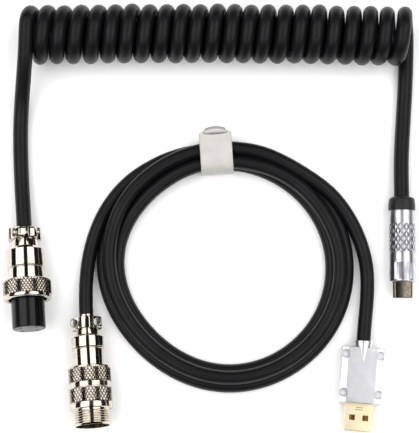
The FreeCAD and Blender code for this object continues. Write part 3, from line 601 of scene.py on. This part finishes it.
def type_c_plug():
    """A soft cap, a satin sleeve with a band of coarse diamonds and a milled flat, and the steel nose."""
    body = "type_c_end"
    cap = turned([
        (3.3, 0.0), (3.9, 0.0), *arc((4.2, 1.3), 1.3, -90, 0), (5.72, 3.2), (5.75, 4.6), (5.6, 5.7),
        (5.5, 5.8), (3.3, 5.8),
    ])  # fmt: skip
    piece("type_c_boot", cap, TYPE_C, CAP, body)
    sleeve_r, sunk_r, count, along, depth = 5.7, 5.62, 14, 3.4, 0.2
    knurl_start, knurl_end = 11.4, 23.3
    line_r = sleeve_r - 0.12
    sleeve = turned([
        (0, 34.9), (4.7, 34.9), (4.7, 5.8), (5.55, 5.8), (sleeve_r, 5.95), (sleeve_r, knurl_start - 0.2),
        *rows(sunk_r, knurl_start, knurl_end, 42), (sleeve_r, knurl_end + 0.2), (sleeve_r, 24.0),
        (line_r, 24.1), (line_r, 24.3), (sleeve_r, 24.4), (sleeve_r, 36.0), (sleeve_r - 0.3, 36.3),
        (0, 36.3),
    ], 8 * count)  # fmt: skip
    knurl(sleeve, sunk_r, knurl_start, knurl_end, count, along, depth, flat=0.6)
    flat_high, crown_r = 5.05, 9.0
    crown = rod(crown_r, 27, 37, segments=128)
    bmesh.ops.translate(crown, vec=(0, flat_high - crown_r, 0), verts=crown.verts)
    flat = carved(block((-7, 2, 28.2), (7, 8, 35.4)), crown)
    mouth = rod(1.3, 33, 38, half_length=2.9)
    piece("type_c_sleeve", carved(sleeve, joined(flat, mouth)), TYPE_C, ALUMINIUM, body, sharp=28)
    outer_r, inner_r, side_at = 1.28, 0.98, 2.89
    outer = rod(outer_r, 29.0, 43.0, half_length=side_at, segments=64)
    inner = rod(inner_r, 28.0, 44.0, half_length=side_at, segments=64)
    piece("type_c_shell", soften(carved(outer, inner), 0.12, 2, 50), TYPE_C, SHELL_STEEL, body)


# --- type-A plug ---------------------------------------------------------------------------------


def housing_half(top):
    """Half of the housing: a flat middle between sloping sides, with half of the neck."""
    half, flat_half, high, side_high, neck_r = 8.95, 6.1, 4.8, 3.9, 4.0
    up = 1 if top else -1
    corners = [
        (-half, 0), (half, 0), (half, side_high), (flat_half, high), (-flat_half, high),
        (-half, side_high),
    ]  # fmt: skip
    bm = soften(prism([(x, y * up) for x, y in corners], 2.9, 26.4), 0.3, 3, 10)
    mouth = block((-6.1, -2.35, 19.0), (6.1, 2.35, 27.0))
    neck = soften(turned([(3.0, 0.0), (neck_r, 0.0), (neck_r, 3.6), (3.0, 3.6)]), 0.3)
    whole = neck.verts[:] + neck.edges[:] + neck.faces[:]
    bmesh.ops.bisect_plane(neck, geom=whole, plane_co=(0, 0, 0), plane_no=(0, up, 0), clear_inner=True)
    bmesh.ops.holes_fill(neck, edges=[e for e in neck.edges if e.is_boundary])
    return carved(bm, mouth), neck


def type_a_plug():
    """A die-cast housing in two halves, a ridge on its neck, four corner screws, and the gold nose."""
    body = "host_cable"
    spots = [(x, z) for x in (-7.25, 7.25) for z in (6.1, 22.4)]
    seat, head_r, head_high, room = 2.4, 1.55, 2.2, 0.4
    upper, neck = housing_half(True)
    pockets = joined(*[standing(rod(head_r + room, seat, 7.0), x, z) for x, z in spots])
    ridge_start, ridge_long, lift, climb = 0.4, 10.5, 0.85, 0.295
    ridge = bmesh.new()
    bmesh.ops.create_cone(ridge, cap_ends=True, segments=48, radius1=4.3, radius2=0.8, depth=ridge_long)
    bmesh.ops.translate(ridge, vec=(0, 0, ridge_start + ridge_long / 2), verts=ridge.verts)
    for vert in ridge.verts:
        vert.co.y += lift + (vert.co.z - ridge_start) * climb
    above = block((-5, 0.2, ridge_start), (5, 7, 11.0))
    upper = joined(carved(upper, pockets), neck, carved(ridge, above, "INTERSECT"))
    piece("type_a_top_housing", upper, TYPE_A, ZINC, body)
    piece("type_a_bottom_housing", joined(*housing_half(False)), TYPE_A, ZINC, body)
    screws = []
    for x, z in spots:
        head = soften(rod(head_r, seat, seat + head_high), 0.4, 4)
        cross = joined(block((-0.2, -0.8, 4.2), (0.2, 0.8, 5)), block((-0.8, -0.2, 4.2), (0.8, 0.2, 5)))
        screws.append(standing(joined(carved(head, cross), rod(0.9, -3.2, seat + 0.1)), x, z))
    piece("type_a_screws", joined(*screws), TYPE_A, WHITE_SCREW, body)
    outer = soften(block((-6.0, -2.25, 18.6), (6.0, 2.25, 38.2)), 0.55, 5)
    inner = block((-5.7, -1.95, 17.0), (5.7, 1.95, 40.0))
    windows = [block((x - 1.2, -4, 31.3), (x + 1.2, 4, 33.6)) for x in (-2.8, 2.8)]
    presses = [block((-1.5, 1.9, z), (1.5, 3, z + 0.22)) for z in (28.1, 29.0)]
    shell = carved(carved(outer, inner), joined(*windows, *presses))
    piece("type_a_shell", shell, TYPE_A, GOLD, body)


# --- tie -----------------------------------------------------------------------------------------


def strap(path, width, thick, crown=0.0, bows=(0.0, 0.0)):
    """A woven strap along (outward, up) points, with soft edges. A crown lifts its middle over its sides.

    A bow, at the start and at the end, draws its sides back from its middle.
    """
    across = [width * (i / 6 - 0.5) for i in range(7)]
    bm = bmesh.new()
    verts = [bm.verts.new((x, *path[0])) for x in across]
    edges = [bm.edges.new(pair) for pair in zip(verts, verts[1:])]
    for number, (out, up) in enumerate(path):
        if number:
            pulled = bmesh.ops.extrude_edge_only(bm, edges=edges)["geom"]
            verts = [v for v in pulled if isinstance(v, bmesh.types.BMVert)]
            new_edges = [e for e in pulled if isinstance(e, bmesh.types.BMEdge)]
            edges = [e for e in new_edges if all(v in verts for v in e.verts)]
        bow = bows[0] + (bows[1] - bows[0]) * number / (len(path) - 1)
        for vert in verts:
            side = (2 * vert.co.x / width) ** 2
            vert.co.y, vert.co.z = out - bow * side, up + crown * (1 - side)
    bmesh.ops.recalc_face_normals(bm, faces=bm.faces)
    made = as_object(bm, "strap")
    wall = made.modifiers.new("wall", "SOLIDIFY")
    wall.thickness, wall.offset = thick, 0
    smooth = made.modifiers.new("smooth", "SUBSURF")
    smooth.levels = smooth.render_levels = 2
    return final_shape(made)


def tie():
    """The strap lies over the loop and under it, rises through its own slot, and folds down outside."""
    width, thick, end_width, end_thick, crown, bow = 14.0, 1.1, 9.2, 0.8, 0.25, 0.9
    band = strap([
        (10.5, 12.75), (9.9, 12.95), (7.0, 13.1), (3.0, 13.15), (0.0, 13.15), (-3.4, 13.05), (-5.6, 12.2),
        (-7.1, 10.3), (-7.65, 8.0), (-7.65, 4.0), (-7.5, 1.8), (-6.6, 0.85), (-5.0, 0.6), (0.0, 0.6),
        (5.0, 0.6), (6.9, 0.8), (7.7, 1.9), (8.1, 6.0), (8.5, 10.2), (8.7, 11.9),
    ], width, thick)  # fmt: skip
    lens = rod(1.0, 11.5, 14.5, segments=32)
    bmesh.ops.scale(lens, vec=(5.4, 1.0, 1), verts=lens.verts)
    bmesh.ops.translate(lens, vec=(0, 8.7, 0), verts=lens.verts)
    # the corners of the strap's head are rounded
    for vert in band.verts:
        if vert.co.y > 8.0 and vert.co.z > 12.0:
            vert.co.y -= 1.8 * (2 * vert.co.x / width) ** 2
    root = strap([
        (8.7, 11.2), (8.75, 12.2), (8.9, 12.95), (9.25, 13.4), (9.8, 13.6), (10.2, 13.6),
    ], end_width, end_thick, crown, (0.0, bow))  # fmt: skip
    piece("tie_band", joined(carved(band, lens), root), TIE, TAPE, "host_cable", sharp=60)
    tail = strap([
        (10.0, 13.6), (10.5, 13.55), (10.95, 13.25), (11.15, 12.6), (11.15, 11.8), (10.9, 9.6),
        (10.4, 6.2), (9.9, 3.2),
    ], end_width, end_thick, crown, (bow, bow))  # fmt: skip
    # the tail's greyer tape is painted shade on the fold
    made = piece("tie_tail", tail, TIE, HOOK_TAPE_IN_PAINTED_SHADE, None, sharp=60)
    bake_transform(made)


# --- CAD pieces that stay ------------------------------------------------------------------------

FINISHES = {
    "ring_coupler_retaining_clip": SPRING, "ring_coupler_contacts": CONTACT_GOLD,
    "ring_coupler_wires": WIRE, "thread_coupler_retaining_nut": NICKEL, "thread_coupler_insert": CARRIER,
    "thread_coupler_pins": CONTACT_GOLD, "thread_coupler_wires": WIRE, "type_c_crimp_ferrule": SPRING,
    "type_c_inner_mould": INNER, "type_c_board": BOARD, "type_c_liner": CARRIER,
    "type_c_contacts": CONTACT_GOLD, "type_a_tongue": TONGUE, "type_a_contacts": CONTACT_GOLD,
    "type_a_board": BOARD, "type_a_wires": WIRE,
}  # fmt: skip


def carried_over():
    """Gives the CAD pieces that stay their own finishes."""
    for node, material in FINISHES.items():
        made = frame["nodes"][node]
        made.data.materials.clear()
        made.data.materials.append(material)


# --- cords ---------------------------------------------------------------------------------------

CURLY_R, HOST_R = 3.25, 3.0
HELIX_R, TURNS, PER_TURN = 9.5, 22.5, 16
HELIX_START, HELIX_END = -78.3, 85.9


def routed(name, points, radius, resolution):
    """A cord's tube, and the line that it follows: a NURBS line with the points as its control points."""
    data = bpy.data.curves.new(name, "CURVE")
    data.dimensions = "3D"
    spline = data.splines.new("NURBS")
    spline.points.add(len(points) - 1)
    for spot, point in zip(spline.points, points):
        spot.co = (*(c * MM for c in point), 1)
    spline.order_u = 3
    spline.use_endpoint_u = True
    data.resolution_u = resolution
    line = bpy.data.objects.new(name + "_line", data)
    bare = bpy.data.meshes.new_from_object(line)
    path = [v.co.copy() for v in bare.vertices]
    bpy.data.meshes.remove(bare)
    data.bevel_depth, data.bevel_resolution, data.use_fill_caps = radius * MM, 5, True
    tube = bpy.data.meshes.new_from_object(line)
    tube.name = name
    bpy.data.objects.remove(line)
    made = bpy.data.objects.new(name, tube)
    scene.collection.objects.link(made)
    tube.shade_smooth()
    tube.materials.clear()
    tube.materials.append(JACKET)
    return made, path


def coil_axis(along):
    """How far back the coil's middle lies: the coil bows a little away from the plugs."""
    middle, bow, lean = 104.6, 2.2, -0.6
    share = (along - HELIX_START) / (HELIX_END - HELIX_START) * 2 - 1
    return middle - bow * share**2 / 2 + lean * share / 2


def coil_points():
    """The coil's turns, resting on the table, from the top of the first to the underside of the last."""
    clearance = 0.1
    total = int(TURNS * PER_TURN)
    outside = HELIX_R / math.cos(math.pi / PER_TURN)
    points = []
    for number in range(1, total):
        turn = number / PER_TURN
        angle = turn * FULL_TURN
        along = HELIX_START + (HELIX_END - HELIX_START) * number / total
        loose = 0.12 * math.sin(2.3 * turn) + 0.1 * math.sin(5.1 * turn + 1.0)
        along += 0.16 * math.sin(1.7 * turn + 0.4)
        radius = outside + loose
        middle_high = CURLY_R + (radius + HELIX_R - outside) + clearance
        back, high = coil_axis(along) + radius * math.sin(angle), middle_high + radius * math.cos(angle)
        points.append((along, back, high))
    return points


def curly_cord():
    """One cord from the lock-ring coupler up into the coil's first turn, and from its last to a plug."""
    points = [
        on_axis(RING, 8.2), on_axis(RING, -5.0), (-80.6, 39.4, 4.3), (-81.4, 52.6, 3.3),
        (-81.7, 64.6, 3.5), (-81.0, 75.6, 6.3), (-79.6, 85.2, 13.2), (-78.1, 95.6, 20.2), *coil_points(),
        (85.7, 103.0, 3.4), (85.3, 91.4, 3.3), (84.6, 79.6, 3.35), (83.8, 68.5, 3.3), (83.0, 58.0, 3.5),
        (82.4, 48.3, 4.5), on_axis(TYPE_C, -1.0), on_axis(TYPE_C, 11.4),
    ]  # fmt: skip
    made, path = routed("curly_cord", points, CURLY_R, 3)
    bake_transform(made)
    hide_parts("curly_cord_left_tail", "curly_cord_coil", "curly_cord_right_tail")


# Knots of the loop's winding: (turns clockwise from the tie, distance from the loop's centre, height).
# The first turn lies outside, the second inside it, the third climbs on top, and the fourth crosses out.
WINDING = [
    (-0.10, 54.5, 3.2), (0.0, 52.2, 3.1), (0.25, 52.2, 3.0), (0.5, 52.2, 3.0), (0.75, 52.0, 3.0),
    (0.875, 49.2, 3.0), (1.0, 46.2, 3.1), (1.25, 46.0, 3.0), (1.5, 46.0, 3.0), (1.75, 46.0, 3.0),
    (1.875, 44.9, 6.6), (2.0, 46.2, 9.0), (2.12, 47.9, 8.7), (2.25, 49.0, 8.2), (2.5, 49.0, 8.2),
    (2.75, 49.0, 8.2), (2.875, 51.2, 8.6), (3.0, 52.2, 9.0), (3.08, 52.9, 8.8),
]  # fmt: skip
LOOP_STEPS, TIE_LIFT, TIE_REACH = 24, 1.1, 0.04
STRETCH_X, STRETCH_Y = 1.017, 0.981
DENT, DENT_AT = 3.2, math.radians(222)  # the loop is drawn in on its near left side


def winding(turn):
    """Distance and height at a turn, eased between the knots on either side."""
    for (start, near, low), (end, far, high) in zip(WINDING, WINDING[1:]):
        if turn <= end:
            share = (turn - start) / (end - start)
            share = share * share * (3 - 2 * share)
            return near + (far - near) * share, low + (high - low) * share
    return WINDING[-1][1:]


def loop_points():
    """The tied loop's turns. Under the tie the lower ones are lifted by the strap's thickness."""
    points = []
    first, last = WINDING[0][0], WINDING[-1][0]
    for number in range(round((last - first) * LOOP_STEPS) + 1):
        turn = first + number / LOOP_STEPS
        radius, height = winding(turn)
        from_tie = abs(turn - round(turn)) / TIE_REACH
        if turn > -0.05 and height < 6:
            height += TIE_LIFT * max(0.0, 1 - from_tie / 2)
        angle = math.radians(90) - turn * FULL_TURN
        radius -= DENT * max(0.0, math.cos(angle - DENT_AT)) ** 4
        points.append((
            LOOP_CENTRE.x + STRETCH_X * radius * math.cos(angle),
            LOOP_CENTRE.y + STRETCH_Y * radius * math.sin(angle),
            height,
        ))  # fmt: skip
    return points


def host_cord():
    """One cord from the threaded coupler round the tied loop to the type-A plug."""
    points = [
        on_axis(THREAD, 8.2), on_axis(THREAD, -6.5), (-52.4, 4.0, 3.4), (-49.9, 17.2, 3.2),
        (-44.7, 29.6, 3.25), (-36.6, 40.2, 3.2), *loop_points(), (49.0, 39.2, 7.0), (57.7, 29.6, 4.9),
        (64.0, 18.0, 3.4), (67.4, 5.4, 3.0), (67.3, -8.0, 3.3), on_axis(TYPE_A, -7.0),
        on_axis(TYPE_A, 4.6),
    ]  # fmt: skip
    made, path = routed("host_cord", points, HOST_R, 4)
    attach(made, "host_cable")
    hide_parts("host_cord_left_tail", "host_cord_loop", "host_cord_right_tail")


# --- table, light and camera ---------------------------------------------------------------------


def table_top():
    """A matt white board under the set."""
    bm = bmesh.new()
    bmesh.ops.create_grid(bm, x_segments=1, y_segments=1, size=3)
    bmesh.ops.translate(bm, vec=(0, 0, -0.0002), verts=bm.verts)
    made = as_object(bm, "table_top")
    material, shader, where = finish("matt_white_board", Roughness=0.9)
    uneven(material, shader, where, 40.0, ("#F3F3F3", "#F5F5F5"), (0.85, 0.95))
    made.data.materials.append(material)


def flat_light(name, place, size, power):
    """A flat light that points straight down."""
    data = bpy.data.lights.new(name, "AREA")
    data.shape, data.size, data.size_y, data.energy = "RECTANGLE", *size, power
    made = bpy.data.objects.new(name, data)
    made.location = place
    scene.collection.objects.link(made)
    return made


def studio():
    """Two softboxes with a dark gap between them, and a wide fill that polished metal doesn't mirror."""
    table_top()
    height, gap, reach, long, power = 0.9, 0.19, 1.45, 1.7, 13.0
    for side in (-1, 1):
        place = (side * (gap + reach) / 2, 0.0, height)
        flat_light(f"softbox_{side + 1}", place, (reach - gap, long), power)
    fill_height, fill_side, fill_power = 1.6, 3.2, 40.0
    fill = flat_light("fill", (0, 0, fill_height), (fill_side, fill_side), fill_power)
    fill.visible_glossy = False
    world, ambient = bpy.data.worlds.new("studio"), 0.012
    world.use_nodes = True
    world.node_tree.nodes["Background"].inputs["Color"].default_value = linear("#FFFFFF")
    world.node_tree.nodes["Background"].inputs["Strength"].default_value = ambient
    scene.world = world
    scene.view_settings.view_transform = "Standard"


def camera():
    """Looks down on the set from 82 degrees above the table, 0.7 m from its middle."""
    data = bpy.data.cameras.new("camera")
    data.lens, data.sensor_width = 135, 36
    made = bpy.data.objects.new("camera", data)
    tilt = math.radians(82)
    target, distance = Vector((0, 0.027, 0)), 0.7
    back = Vector((0, -math.cos(tilt), math.sin(tilt)))
    made.location = target + back * distance
    made.rotation_euler = (math.radians(90) - tilt, 0, 0)
    scene.collection.objects.link(made)
    scene.camera = made


camera()
studio()
curly_cord()
host_cord()
ring_coupler()
thread_coupler()
type_c_plug()
type_a_plug()
tie()
carried_over()
